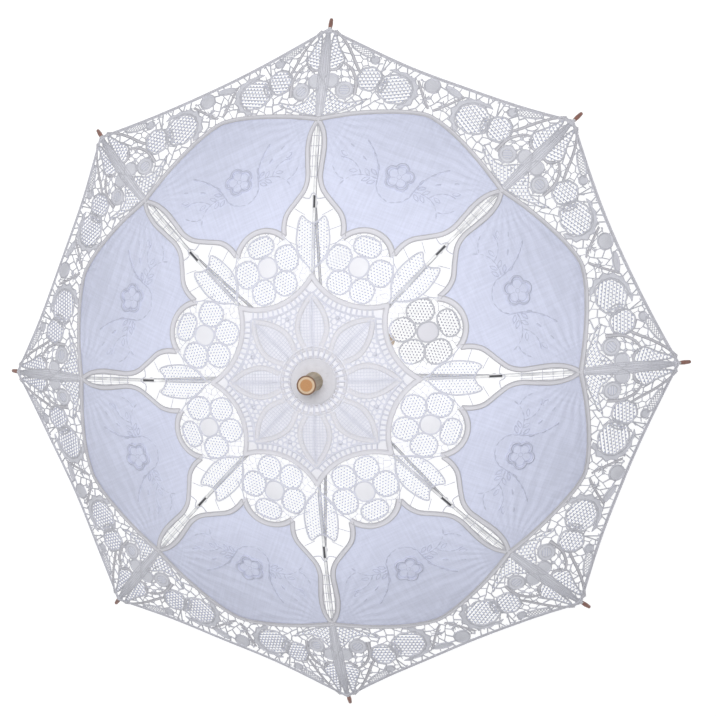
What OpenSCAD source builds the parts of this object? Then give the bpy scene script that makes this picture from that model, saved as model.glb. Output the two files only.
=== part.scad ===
// Lace parasol with a wooden shaft and eight fluted steel ribs, shown open.
// Millimetres. +Z runs up the shaft. The origin is the middle of the handle's
// grip, on the shaft's axis. Rib 1 lies along +X and the others follow
// counter-clockwise.

/* [Handle] */
// Radius of the straight part of the grip
grip_r = 9.5; // [8.5:0.1:12]
// Length of the straight part of the grip
grip_len = 90; // [70:1:110]
// Length of the turned neck between the grip and the collar
neck_len = 30; // [26:1:40]
// Radius of the turned neck under the collar
neck_r = 7; // [6.5:0.1:8]
// Length of the rounded end below the grip
butt_len = 8; // [5:0.5:8.4]
// Depth of the shaft's socket in the handle, below the collar's seat
socket_depth = 60; // [40:1:80]
// Height of the metal collar on the handle's neck
collar_h = 7; // [5:0.5:12]
// Wall of the metal collar
collar_wall = 0.8; // [0.5:0.1:1.2]

/* [Shaft] */
// Radius of the wooden shaft
shaft_r = 5; // [4.8:0.1:5.5]
// Gap between the closed runner and the handle's collar
park_gap = 36; // [10:1:60]
// Radial gap of the pieces that are fixed on the shaft
seat_fit = 0.05; // [0.02:0.01:0.1]
// Radial gap of the runner on the shaft
runner_fit = 0.1; // [0.05:0.01:0.1]

/* [Ferrule and cap] */
// Height of the ferrule
ferrule_h = 42; // [30:1:55]
// Radius of the ferrule's body
ferrule_r = 10.4; // [9:0.1:12]
// How far the ferrule's side is waisted in
ferrule_waist = 0.9; // [0.4:0.1:1.5]
// Radius of the cap of cloth under the ferrule
cap_r = 24; // [20:0.5:28]
// Thickness of the cap
cap_t = 1; // [0.8:0.1:1.5]

/* [Notch and runner] */
// Wall of the tube below each toothed crown
sleeve_wall = 1.4; // [1.2:0.1:2]
// Width of the rim outside the wire ring
crown_rim = 3; // [2.6:0.1:4]
// Height of each toothed crown
crown_h = 5; // [4.2:0.1:6]
// Radius of the wire that the ribs and stretchers turn on
wire_r = 0.8; // [0.7:0.05:0.9]
// Radial gap of a hinge eye on its wire or rivet
hinge_fit = 0.08; // [0.04:0.01:0.1]
// Gap at each side of a blade in its slot
slot_gap = 0.25; // [0.2:0.05:0.4]
// Length of the notch's tube below the crown
notch_tube = 12; // [8:1:20]
// Radius of the runner's finger grip
thumb_r = 8.4; // [8:0.1:9]
// Length of the runner's finger grip
thumb_len = 22; // [18:1:28]
// Length of the flare between the runner's neck and its grip
flare_len = 4; // [2:0.5:6]

/* [Ribs] */
// Bend radius of an open rib
rib_bend_r = 520; // [480:5:560]
// Distance from the shaft's axis to the end of a tip
tip_reach = 400; // [380:1:420]
// Width of the fluted section
rib_w = 3.2; // [3:0.1:3.6]
// Height of the fluted section
rib_h = 2.6; // [2.4:0.1:3]
// Wall of the fluted section
rib_wall = 0.45; // [0.4:0.05:0.6]
// Thickness of the flat blade with the hinge eye
blade_t = 1.2; // [1:0.1:1.4]
// Radius of a hinge eye
eye_r = 2; // [1.9:0.05:2.1]
// Length of the flat blade at a rib's inner end
rib_blade = 9; // [8:0.5:14]
// Distance from the axis to the end of a closed rib
furl_r = 20; // [18:0.5:26]

/* [Tips] */
// Length of a wooden tip
tip_len = 17; // [14:0.5:22]
// Largest radius of a wooden tip
tip_r = 2.6; // [2.3:0.1:3]
// Radius of the round tang that holds the tip
tang_r = 1.1; // [0.9:0.1:1.2]
// Length of the tang
tang_len = 8; // [6:0.5:10]
// Radial gap between the tang and its bore
tang_fit = 0.05; // [0.03:0.01:0.1]

/* [Joints] */
// Distance from the shaft's axis to a stretcher's rivet
joint_reach = 189; // [175:1:200]
// Depth of the rivet below the middle of the rib
ear_drop = 3.5; // [3.4:0.1:4.5]
// Radius of a clip's ear round the rivet
ear_r = 2.2; // [2:0.1:2.6]
// Length of a clip along the rib
clip_len = 14; // [10:0.5:18]
// Sheet thickness of a clip
clip_t = 0.6; // [0.5:0.05:0.8]
// Gap between a clip and its rib
clip_gap = 0.05; // [0.03:0.01:0.1]
// Radius of a rivet
rivet_r = 0.9; // [0.8:0.05:1]
// Radius of a rivet's head
rivet_head_r = 1.6; // [1.4:0.1:1.8]
// Thickness of a rivet's head
rivet_head_t = 0.6; // [0.4:0.05:0.8]
// Radial gap of a rivet in a clip's ears
rivet_seat = 0.02; // [0.01:0.01:0.04]

/* [Stretchers] */
// Width of a stretcher's channel
stretcher_w = 2.9; // [2.7:0.05:2.9]
// Height of a stretcher's channel
stretcher_h = 2.8; // [2.6:0.1:3]
// Radius of the rounded cheeks at the rivet
cheek_r = 1.85; // [1.7:0.05:1.9]

/* [Catches] */
// Free length of a leaf spring
spring_len = 30; // [24:1:36]
// Width of a leaf spring
spring_w = 1.6; // [1.4:0.1:1.8]
// Thickness of a leaf spring
spring_t = 0.8; // [0.6:0.05:1]
// How far a catch stands out of the shaft
nose_out = 1.6; // [1.2:0.1:1.8]
// Length of the sloping side of a catch
nose_slope = 9; // [6:0.5:12]
// Radius of the stop pin above the runner
stop_r = 1; // [0.8:0.1:1.2]
// How far the stop pin stands out of the shaft at each side
stop_out = 1.6; // [1.2:0.1:2]

/* [Canopy] */
// Thickness of the canopy's solid
canopy_t = 1.2; // [1:0.1:1.6]
// Gap between the canopy and the clips on the ribs
cloth_gap = 0.8; // [0.7:0.05:1.2]
// Gap between neighbouring gores
gore_gap = 0.3; // [0.2:0.05:0.6]
// Gap of the sewn seam over a rib
seam_gap = 0.1; // [0.05:0.05:0.3]
// Distance from the axis to the gores' inner edge
canopy_in = 16; // [14:0.5:18]
// Depth of the hem's hollow between two tips
hem_sag = 9; // [8:1:30]

/* [Hidden] */
$fn = 96;
RIBS = 8;
pitch = 360 / RIBS;
half_pitch = pitch / 2;
// overlap that keeps cuts and joined solids clear of shared faces
cut = 1;
// gap left between pieces that pass each other without touching
side_gap = 0.4;

// crowns and sleeves
sleeve_bore = shaft_r + runner_fit;
sleeve_r = sleeve_bore + sleeve_wall;
ring_r = sleeve_r + side_gap + eye_r;
crown_r = ring_r + crown_rim;
slot_w = blade_t + 2 * slot_gap;
slot_floor = sleeve_r + side_gap / 2;
crown_lip = 1.5;

// rib: arc centre is rib_bend_r below the hinge, so a rib leaves the notch level
rivet_angle = asin((joint_reach - ring_r) / (rib_bend_r - ear_drop));
rivet_x = joint_reach;
rivet_z = (rib_bend_r - ear_drop) * cos(rivet_angle) - rib_bend_r;
end_angle = asin((tip_reach - ring_r) / norm([rib_bend_r, tip_len]))
            - atan2(tip_len, rib_bend_r);
end_x = ring_r + rib_bend_r * sin(end_angle);
end_z = rib_bend_r * cos(end_angle) - rib_bend_r;

// linkage: stretchers are as long as the distance from hinge to rivet
stretcher_len = norm([rivet_x - ring_r, rivet_z]);
open_angle = atan2(-rivet_z, rivet_x - ring_r);
rib_chord = norm([end_x - ring_r, end_z]);
close_turn = acos((furl_r - ring_r) / rib_chord) - atan2(-end_z, end_x - ring_r);
closed_angle = open_angle + close_turn;
open_drop = 2 * stretcher_len * sin(open_angle);
closed_drop = 2 * stretcher_len * sin(closed_angle);
travel = closed_drop - open_drop;

// the stretchers' eyes run ahead of the runner between its two ends
function lead(f) = 2 * stretcher_len * sin(open_angle + f * close_turn) - open_drop - f * travel;
max_lead = max([for (f = [0:0.02:1]) lead(f)]);
// a stretcher stays a thin blade as far as it dips into the crown's slot
function dip(f) =
    let (steep = open_angle + f * close_turn,
         half = crown_h / 2 + stretcher_h / 2 + side_gap,
         across = (crown_rim + stretcher_h / 2 + side_gap) / cos(steep),
         from = (lead(f) - half) / sin(steep),
         to = (lead(f) + half) / sin(steep))
    from < across ? min(to, across) : 0;
stretcher_blade = max([for (f = [0:0.02:1]) dip(f)]) + side_gap;

// heights along the shaft
runner_neck = max_lead + eye_r + side_gap;
runner_below = crown_h / 2 + runner_neck + flare_len + thumb_len;
collar_top = grip_len / 2 + neck_len;
closed_z = collar_top + park_gap + runner_below;
hinge_z = closed_z + closed_drop;
runner_z = hinge_z - open_drop;
stop_z = runner_z + crown_h / 2 + crown_lip + stop_r + side_gap;
cap_z = hinge_z + rib_h / 2 + clip_t + cloth_gap + canopy_t + 2 * side_gap;
ferrule_z = cap_z + cap_t;
shaft_bottom = collar_top - socket_depth;
ferrule_socket = ferrule_h * 0.6;
shaft_top = ferrule_z + ferrule_socket;

// catches
catch_turn = half_pitch;
leaf_x = shaft_r - 2;
catch_top_z = runner_z - runner_below - side_gap;
window_z = closed_z - runner_below + thumb_len / 2;
window_h = 7;
window_w = spring_w + 2 * side_gap;
foot_len = 4;

// canopy: every gore is part of one cylinder through the ridges over two ribs
ridge_r = rib_bend_r + rib_h / 2 + clip_gap + clip_t + cloth_gap;
function ridge(angle) = [
    cos(half_pitch) * (ring_r + ridge_r * sin(angle)),
    ridge_r * cos(angle) - rib_bend_r
];
gore_arc = circle_through(ridge(0), ridge(end_angle / 2), ridge(end_angle));
gore_centre = gore_arc[0];
gore_r = gore_arc[1];
hem_half = (end_x - tip_r / 2) * sin(half_pitch);
hem_x = (end_x - tip_r / 2) * cos(half_pitch);
hem_r = (hem_half * hem_half + hem_sag * hem_sag) / (2 * hem_sag);

// ---- helpers ----

// centre and radius of the circle through three points
function circle_through(p, q, r) =
    let (d = 2 * (p.x * (q.y - r.y) + q.x * (r.y - p.y) + r.x * (p.y - q.y)),
         pp = p * p,
         qq = q * q,
         rr = r * r,
         c = [(pp * (q.y - r.y) + qq * (r.y - p.y) + rr * (p.y - q.y)) / d,
              (pp * (r.x - q.x) + qq * (p.x - r.x) + rr * (q.x - p.x)) / d])
    [c, norm(p - c)];

// places a child made in the XZ plane at rib number i
module at_rib(i) rotate([0, 0, pitch * (i - 1)]) children();

// places a child at an angle along a rib's arc, with Z up through the rib
module on_arc(angle)
    translate([ring_r, 0, hinge_z - rib_bend_r]) rotate([0, angle, 0]) children();

// sweeps a section along a rib's arc between two angles from the vertical;
// the section's X is the distance from the rib's middle line, outwards
module sweep(from, to)
    translate([ring_r, 0, hinge_z - rib_bend_r])
        rotate([90, 0, 0])
            rotate([0, 0, 90 - to])
                rotate_extrude(angle = to - from, $fn = 720)
                    translate([rib_bend_r, 0]) children();

// an upright plate in the XZ plane, centred on it
module plate(thickness)
    rotate([90, 0, 0]) linear_extrude(thickness, center = true) children();

// a pin along Y, centred on the XZ plane
module cross_pin(r, length) rotate([90, 0, 0]) cylinder(h = length, r = r, center = true);

function along(length) = length / rib_bend_r * 180 / PI;

// one thin-walled channel section, open towards -X, web at +X
module channel_section(width, height, wall)
    difference() {
        translate([-height / 2, -width / 2]) square([height, width]);
        translate([-height / 2 - cut, -width / 2 + wall])
            square([height - wall + cut, width - 2 * wall]);
    }

// ---- toothed crowns ----

// the slots that let eight blades swing, and the groove that holds their wire
module crown_cuts() {
    for (i = [1:RIBS])
        at_rib(i)
            translate([slot_floor, -slot_w / 2, -crown_h / 2 - cut])
                cube([crown_r - slot_floor + cut, slot_w, crown_h + 2 * cut]);
    rotate_extrude() translate([ring_r, 0]) circle(r = wire_r + seat_fit);
}

// outline of a crown's bevelled rim, from its upper to its lower side
function crown_rim_points(bevel = 0.6) = [
    [crown_r - bevel, crown_h / 2],
    [crown_r, crown_h / 2 - bevel],
    [crown_r, -crown_h / 2 + bevel],
    [crown_r - bevel, -crown_h / 2]
];

// half section of the notch, with its crown on the plane
module notch_section() {
    hub_top = cap_z - hinge_z;
    tube_end = -crown_h / 2 - notch_tube;
    polygon(concat(
        [[0, hub_top], [sleeve_r, hub_top], [sleeve_r, crown_h / 2]],
        crown_rim_points(),
        [[sleeve_r, -crown_h / 2], [sleeve_r, tube_end], [0, tube_end]]
    ));
}

module top_notch()
    color("gainsboro")
        translate([0, 0, hinge_z])
            difference() {
                rotate_extrude() notch_section();
                translate([0, 0, -crown_h - notch_tube])
                    cylinder(h = cap_z - hinge_z + 2 * crown_h + notch_tube, r = shaft_r + seat_fit);
                crown_cuts();
            }

module notch_wire()
    color("silver")
        translate([0, 0, hinge_z])
            rotate_extrude() translate([ring_r, 0]) circle(r = wire_r);

// half section of the runner, with its crown on the plane
module runner_section() {
    collar_z = crown_h / 2 + crown_lip;
    flare_z = -crown_h / 2 - runner_neck;
    grip_z = flare_z - flare_len;
    bead = 1.2;
    polygon(concat(
        [[0, collar_z], [sleeve_r, collar_z], [sleeve_r, crown_h / 2]],
        crown_rim_points(),
        [[sleeve_r, -crown_h / 2], [sleeve_r, flare_z], [thumb_r, grip_z]],
        [[thumb_r, grip_z - thumb_len + bead], [thumb_r - bead, grip_z - thumb_len]],
        [[0, grip_z - thumb_len]]
    ));
}

module runner()
    color("gainsboro")
        translate([0, 0, runner_z])
            difference() {
                rotate_extrude() runner_section();
                translate([0, 0, -runner_below - cut])
                    cylinder(h = runner_below + crown_h + crown_lip + 2 * cut, r = sleeve_bore);
                crown_cuts();
                finger_grooves();
                catch_window();
            }

// three shallow rounded grooves round the finger grip
module finger_grooves() {
    groove_r = 4;
    groove_depth = 0.7;
    for (k = [1:3])
        translate([0, 0, -runner_below + thumb_len * k / 4])
            rotate_extrude()
                translate([thumb_r + groove_r - groove_depth, 0]) circle(r = groove_r);
}

// the window in the runner's grip that the lower catch springs into
module catch_window()
    rotate([0, 0, catch_turn])
        translate([shaft_r / 2, -window_w / 2, -runner_below + thumb_len / 2 - window_h / 2])
            cube([thumb_r, window_w, window_h]);

// one short arc of wire in each tooth, so that the slots stay open
module runner_wire() {
    slot_angle = 2 * asin((slot_w / 2 + slot_gap) / ring_r);
    color("silver")
        translate([0, 0, runner_z])
            for (i = [1:RIBS])
                at_rib(i)
                    rotate([0, 0, slot_angle / 2])
                        rotate_extrude(angle = pitch - slot_angle)
                            translate([ring_r, 0]) circle(r = wire_r);
}

// ---- shaft, handle and ferrule ----

module shaft()
    color("burlywood")
        difference() {
            translate([0, 0, shaft_bottom])
                cylinder(h = shaft_top - shaft_bottom, r = shaft_r);
            translate([0, 0, catch_top_z]) mirror([0, 0, 1]) spring_slot();
            translate([0, 0, window_z - window_h / 2 + side_gap]) spring_slot();
            translate([0, 0, stop_z])
                rotate([0, 0, catch_turn]) cross_pin(stop_r + seat_fit, 4 * shaft_r);
        }

// slot for a leaf spring, from the catch's flat shoulder at z = 0 upwards
module spring_slot()
    rotate([0, 0, catch_turn]) {
        translate([leaf_x - nose_out - side_gap, -spring_w / 2 - slot_gap, -side_gap])
            cube([2 * shaft_r, spring_w + 2 * slot_gap, spring_len + 2 * side_gap]);
        translate([leaf_x - foot_len - side_gap, -spring_w / 2 - slot_gap,
                   spring_len - spring_t - side_gap])
            cube([2 * shaft_r, spring_w + 2 * slot_gap, spring_t + 2 * side_gap]);
    }

// leaf spring with its flat shoulder at z = 0 and its foot at the far end
module spring()
    rotate([0, 0, catch_turn])
        plate(spring_w)
            polygon([
                [leaf_x, 0],
                [shaft_r + nose_out, 0],
                [shaft_r + nose_out, 1.2],
                [leaf_x + spring_t, nose_slope],
                [leaf_x + spring_t, spring_len],
                [leaf_x - foot_len, spring_len],
                [leaf_x - foot_len, spring_len - spring_t],
                [leaf_x, spring_len - spring_t]
            ]);

module top_spring()
    color("slategray")
        translate([0, 0, catch_top_z]) mirror([0, 0, 1]) spring();

module bottom_spring()
    color("slategray")
        translate([0, 0, window_z - window_h / 2 + side_gap]) spring();

module stop_pin()
    color("silver")
        translate([0, 0, stop_z])
            rotate([0, 0, catch_turn]) cross_pin(stop_r, 2 * (shaft_r + stop_out));

// half section of the turned handle
module handle_section() {
    bead_r = 1.4;
    cove_r = neck_len - collar_h;
    grip_top = grip_len / 2;
    neck_drop = grip_r - neck_r;
    // straight grip
    translate([0, -grip_len / 2]) square([grip_r, grip_len]);
    // rounded end, cut off flat
    intersection() {
        translate([0, -grip_len / 2]) circle(r = grip_r);
        translate([0, -grip_len / 2 - butt_len]) square([grip_r, butt_len + cut]);
    }
    // beads at the shoulder
    translate([grip_r - bead_r / 2, grip_top - bead_r]) circle(r = bead_r);
    translate([grip_r - neck_drop / 2, grip_top + bead_r]) circle(r = bead_r);
    // tapered neck with a hollow side
    difference() {
        polygon([
            [0, grip_top],
            [grip_r - neck_drop / 2, grip_top],
            [neck_r, collar_top - collar_h],
            [neck_r, collar_top],
            [0, collar_top]
        ]);
        translate([neck_r + cove_r - 0.3, grip_top + (neck_len - collar_h) / 2 + bead_r])
            circle(r = cove_r - 1.3);
    }
}

module handle()
    color("peru")
        difference() {
            rotate_extrude() handle_section();
            translate([0, 0, shaft_bottom - seat_fit])
                cylinder(h = socket_depth + cut, r = shaft_r + seat_fit);
        }

module handle_collar()
    color("gold")
        translate([0, 0, collar_top - collar_h])
            difference() {
                union() {
                    cylinder(h = collar_h + collar_wall, r = neck_r + seat_fit + collar_wall);
                    rotate_extrude()
                        translate([neck_r + seat_fit + collar_wall, collar_wall])
                            circle(r = collar_wall);
                }
                translate([0, 0, -cut]) cylinder(h = collar_h + cut, r = neck_r + seat_fit);
                cylinder(h = collar_h + collar_wall + cut, r = shaft_r + seat_fit);
            }

module canopy_cap()
    color("whitesmoke")
        translate([0, 0, cap_z])
            difference() {
                cylinder(h = cap_t, r = cap_r);
                translate([0, 0, -cut]) cylinder(h = cap_t + 2 * cut, r = shaft_r + seat_fit);
            }

// half section of the ferrule, from its seat on the cap
module ferrule_section() {
    rim = 0.8;
    waist_r = (ferrule_h * ferrule_h / 4 + ferrule_waist * ferrule_waist) / (2 * ferrule_waist);
    button_r = ferrule_r * 0.6;
    ring_in = ferrule_r * 0.72;
    ring_out = ferrule_r * 0.9;
    difference() {
        polygon([
            [0, 0],
            [ferrule_r, 0],
            [ferrule_r, ferrule_h - rim],
            [ferrule_r - rim, ferrule_h],
            [ring_out, ferrule_h],
            [ring_out - rim / 2, ferrule_h - rim],
            [ring_in, ferrule_h - rim],
            [button_r, ferrule_h - rim / 4],
            [0, ferrule_h]
        ]);
        // shallow waist
        translate([ferrule_r - ferrule_waist + waist_r, ferrule_h / 2]) circle(r = waist_r, $fn = 360);
        // cut line near the base
        translate([ferrule_r, ferrule_h * 0.1]) circle(r = rim / 2);
    }
}

module ferrule()
    color("tan")
        translate([0, 0, ferrule_z])
            difference() {
                rotate_extrude() ferrule_section();
                translate([0, 0, -cut])
                    cylinder(h = ferrule_socket + seat_fit + cut, r = shaft_r + seat_fit);
            }

// ---- ribs ----

module rib(i) {
    // keeps the blade and the plug inside the channel's outer faces
    inset = rib_wall / 2;
    color("lightgray")
        at_rib(i)
            difference() {
                union() {
                    // fluted channel
                    sweep(along(rib_blade), end_angle)
                        channel_section(rib_w, rib_h, rib_wall);
                    // flat blade, let into the channel
                    sweep(0, along(1.5 * rib_blade))
                        translate([-rib_h / 2 + inset, -blade_t / 2])
                            square([rib_h - 2 * inset, blade_t]);
                    translate([ring_r, 0, hinge_z]) cross_pin(eye_r, blade_t);
                    // plug in the channel's end that carries the tang
                    sweep(end_angle - along(5), end_angle - along(inset))
                        translate([-rib_h / 2 + inset, -rib_w / 2 + inset])
                            square([rib_h - 2 * inset, rib_w - 2 * inset]);
                    on_arc(end_angle)
                        translate([-tang_len / 2, 0, rib_bend_r])
                            rotate([0, 90, 0]) cylinder(h = 1.5 * tang_len, r = tang_r);
                }
                translate([ring_r, 0, hinge_z]) cross_pin(wire_r + hinge_fit, 2 * rib_w);
            }
}

// half section of a turned tip along its own axis
module tip_section() {
    base_r = tip_r - 0.4;
    nose_r = tip_r - 0.5;
    difference() {
        union() {
            polygon([
                [0, 0],
                [base_r - 0.3, 0],
                [base_r, 0.4],
                [tip_r, tip_len * 0.4],
                [nose_r, tip_len - nose_r],
                [0, tip_len - nose_r]
            ]);
            translate([0, tip_len - nose_r])
                intersection() {
                    circle(r = nose_r);
                    square(nose_r);
                }
        }
        translate([0, -cut]) square([tang_r + tang_fit, tang_len + 2 * tang_fit + cut]);
    }
}

module tip(i)
    color("sienna")
        at_rib(i)
            on_arc(end_angle)
                translate([tang_fit, 0, rib_bend_r])
                    rotate([0, 90, 0]) rotate_extrude() tip_section();

// folded clip round the rib, with an ear at each side of the stretcher
module joiner(i) {
    inner_w = rib_w + 2 * clip_gap;
    inner_h = rib_h + 2 * clip_gap;
    half_len = along(clip_len / 2);
    color("dimgray")
        at_rib(i)
            difference() {
                union() {
                    sweep(rivet_angle - half_len, rivet_angle + half_len)
                        difference() {
                            translate([-inner_h / 2, -inner_w / 2 - clip_t])
                                square([inner_h + clip_t, inner_w + 2 * clip_t]);
                            translate([-inner_h / 2 - cut, -inner_w / 2])
                                square([inner_h + cut, inner_w]);
                        }
                    for (side = [-1, 1])
                        translate([0, side * (inner_w + clip_t) / 2, 0])
                            on_arc(rivet_angle) {
                                translate([0, 0, rib_bend_r - ear_drop / 2])
                                    cube([2 * ear_r, clip_t, ear_drop], center = true);
                                translate([0, 0, rib_bend_r - ear_drop])
                                    cross_pin(ear_r, clip_t);
                            }
                }
                on_arc(rivet_angle)
                    translate([0, 0, rib_bend_r - ear_drop])
                        cross_pin(rivet_r + rivet_seat, 4 * rib_w);
            }
}

module rivet(i) {
    grip = rib_w + 2 * clip_gap + 2 * clip_t;
    color("dimgray")
        at_rib(i)
            on_arc(rivet_angle)
                translate([0, 0, rib_bend_r - ear_drop]) {
                    cross_pin(rivet_r, grip + rivet_head_t);
                    for (side = [-1, 1])
                        translate([0, side * (grip + rivet_head_t) / 2, 0])
                            cross_pin(rivet_head_r, rivet_head_t);
                }
}

// ---- stretchers ----

// made along +X from the runner's wire to the rivet, then tilted up
module stretcher(i) {
    web_end = stretcher_len - cheek_r - side_gap;
    cheek_len = 8;
    color("lightgray")
        at_rib(i)
            translate([ring_r, 0, runner_z])
                rotate([0, -open_angle, 0])
                    difference() {
                        union() {
                            // channel, web downwards
                            translate([stretcher_blade, 0, 0])
                                rotate([90, 0, 90])
                                    linear_extrude(web_end - stretcher_blade)
                                        rotate([0, 0, -90])
                                            channel_section(stretcher_w, stretcher_h, rib_wall);
                            // cheeks that take the rivet
                            for (side = [-1, 1])
                                translate([0, side * (stretcher_w - rib_wall) / 2, 0])
                                    plate(rib_wall) {
                                        translate([stretcher_len, 0]) circle(r = cheek_r);
                                        translate([stretcher_len - cheek_len, -stretcher_h / 2])
                                            square([cheek_len, stretcher_h]);
                                    }
                            // flat blade and eye on the runner's wire
                            plate(blade_t) {
                                circle(r = eye_r);
                                translate([0, -stretcher_h / 2])
                                    square([1.4 * stretcher_blade, stretcher_h]);
                            }
                        }
                        cross_pin(wire_r + hinge_fit, 2 * rib_w);
                        translate([stretcher_len, 0, 0]) cross_pin(rivet_r + hinge_fit, 2 * rib_w);
                    }
}

// ---- canopy ----

// half a gore, from the middle of rib 1's ridge to the middle of the next gap
module half_gore() {
    depth = hem_x * tan(half_pitch) + cut;
    seam_side = seam_gap / 2 / cos(half_pitch);
    rotate([0, 0, half_pitch])
        difference() {
            intersection() {
                rotate([90, 0, 0])
                    linear_extrude(depth)
                        translate([gore_centre.x, hinge_z + gore_centre.y])
                            intersection() {
                                difference() {
                                    circle(r = gore_r + canopy_t, $fn = 720);
                                    circle(r = gore_r, $fn = 720);
                                }
                                translate([-gore_centre.x, 0]) square(2 * gore_r);
                            }
                // wedge between the rib's plane and the gore's middle
                translate([0, 0, hinge_z - gore_r])
                    linear_extrude(2 * gore_r)
                        polygon([
                            [(gore_gap / 2 + seam_side) / tan(half_pitch), -gore_gap / 2],
                            [gore_r, -gore_gap / 2],
                            [gore_r, seam_side - gore_r * tan(half_pitch)]
                        ]);
            }
            // round inner edge
            translate([0, 0, hinge_z - gore_r]) cylinder(h = 2 * gore_r, r = canopy_in);
            // hollow of the hem
            translate([hem_x - hem_sag + hem_r, 0, hinge_z - gore_r])
                cylinder(h = 2 * gore_r, r = hem_r, $fn = 720);
        }
}

module canopy(i)
    color("lavender")
        at_rib(i) {
            half_gore();
            mirror([0, 1, 0]) half_gore();
        }

// ---- the parts ----

shaft();
ferrule();
canopy_cap();
top_notch();
notch_wire();
stop_pin();
handle();
handle_collar();
runner();
runner_wire();
top_spring();
bottom_spring();
for (i = [1:RIBS]) {
    rib(i);
    joiner(i);
    rivet(i);
    tip(i);
    canopy(i);
    stretcher(i);
}
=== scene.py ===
import math
import random

import bpy
import numpy as np
from bpy.props import FloatProperty, FloatVectorProperty, PointerProperty
from mathutils import Matrix, Vector, geometry, noise


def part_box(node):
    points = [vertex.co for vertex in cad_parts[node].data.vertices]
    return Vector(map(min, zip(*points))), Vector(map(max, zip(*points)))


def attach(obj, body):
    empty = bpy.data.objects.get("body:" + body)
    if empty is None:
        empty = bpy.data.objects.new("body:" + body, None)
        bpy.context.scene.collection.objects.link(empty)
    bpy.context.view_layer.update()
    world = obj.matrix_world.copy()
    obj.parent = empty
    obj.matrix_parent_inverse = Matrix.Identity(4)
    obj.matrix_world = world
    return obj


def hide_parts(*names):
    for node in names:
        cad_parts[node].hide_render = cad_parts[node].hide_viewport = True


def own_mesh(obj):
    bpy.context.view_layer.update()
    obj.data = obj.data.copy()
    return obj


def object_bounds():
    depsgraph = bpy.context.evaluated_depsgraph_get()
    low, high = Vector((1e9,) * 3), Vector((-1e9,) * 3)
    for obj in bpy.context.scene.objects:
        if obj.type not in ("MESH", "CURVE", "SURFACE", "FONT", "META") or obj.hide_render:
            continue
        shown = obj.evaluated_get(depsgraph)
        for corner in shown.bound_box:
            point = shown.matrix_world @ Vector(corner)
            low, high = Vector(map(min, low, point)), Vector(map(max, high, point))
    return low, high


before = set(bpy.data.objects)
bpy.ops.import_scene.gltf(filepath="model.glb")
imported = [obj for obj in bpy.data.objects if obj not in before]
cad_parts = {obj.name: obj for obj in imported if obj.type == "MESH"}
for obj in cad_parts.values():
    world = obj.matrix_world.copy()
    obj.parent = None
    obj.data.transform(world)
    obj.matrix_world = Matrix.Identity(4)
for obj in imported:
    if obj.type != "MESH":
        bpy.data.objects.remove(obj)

bl_info = {
    "name": "Lace Parasol",
    "version": (1, 0, 0),
    "blender": (4, 5, 0),
    "location": "View3D > Sidebar > Parasol",
    "description": "Cotton, tape lace, wood and metal for a parasol with eight ribs",
    "category": "Object",
}

# Flat work is drawn in plan, in millimetres: how far across the gore, clockwise
# seen from above, how far out from the shaft, and how high it lies on the cloth.
RIBS = 8
HALF = math.pi / RIBS
MM = 0.001
CAD_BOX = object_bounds()
STEP = 2.5         # between the points of a drawn curve
PLAIT = 3.0        # length of one plait along a braid
TIP_LIMIT = 358    # no thread goes further out than this
STRAY_SEED = 1795337679    # noise vectors follow the clock until they are given a seed


# ---- sizes and colours ----

def width(name, description, default, low, high):
    """A size on the cloth, in millimetres."""
    return FloatProperty(name=name, description=description, default=default, min=low, max=high)


def colour(name, description, default):
    return FloatVectorProperty(name=name, description=description, default=default,
                               subtype="COLOR", min=0, max=1)


class LaceSizes(bpy.types.PropertyGroup):
    tape: width("Tape width", "Width of the braid that draws the pattern", 5.8, 3, 10)
    hem: width("Hem width", "Width of the braid along the edge", 3.4, 2, 8)
    outline: width("Outline thickness", "Thickness of the cord round a net", 1.5, 0.4, 3)
    bar: width("Bar thickness", "Thickness of the bars that join the motifs", 1.4, 0.4, 3)
    thread: width("Thread thickness", "Thickness of the threads of a net", 0.95, 0.2, 2)
    net: width("Net spacing", "Distance between the threads of a net", 3.1, 1, 8)
    ground: width("Ground cell", "Width of the open cells between the motifs", 9.6, 3, 15)
    cloth: width("Cloth thickness", "Thickness of the cotton and the braid", 0.45, 0.1, 1)
    keep: FloatProperty(
        name="Folded share", description="Share of its width that a closed gore keeps",
        default=0.05, min=0.01, max=1)


class Colours(bpy.types.PropertyGroup):
    cotton: colour("Cotton", "Colour of the plain panels", (0.70, 0.725, 0.885))
    lining: colour("Lining", "Colour of the thin cloth under the star", (0.83, 0.825, 0.865))
    tape: colour("Tape", "Colour of the braid", (0.70, 0.69, 0.735))
    thread: colour("Thread", "Colour of nets, bars and outlines near the shaft",
                   (0.66, 0.665, 0.745))
    # painted shade: the thread's colour at the canopy's sloping edge, where less light falls
    edge_shade: colour("Thread in painted edge shade", "Colour of the same thread along the edge", (0.60, 0.60, 0.65))
    wood: colour("Wood", "Colour of the shaft, ferrule and handle", (0.50, 0.34, 0.19))
    tip: colour("Tip wood", "Colour of the tips of the ribs", (0.27, 0.12, 0.09))


class Studio(bpy.types.PropertyGroup):
    distance: FloatProperty(
        name="Camera distance", description="From the camera to the ring of the tips",
        unit="LENGTH", default=2.0, min=0.5)
    lens: FloatProperty(
        name="Lens", description="Focal length of the camera in millimetres",
        default=86.24, min=10)
    tilt: FloatVectorProperty(
        name="Tilt", description="Turns of the parasol as the camera sees it",
        subtype="EULER", default=(math.radians(4.89), math.radians(-8.73), math.radians(1.54)))
    aside: FloatVectorProperty(
        name="Aside", description="How far the camera is moved sideways and up",
        unit="LENGTH", size=2, default=(0.0195, 0.0096))


# ---- the dome that the cloth lies on ----

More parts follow.
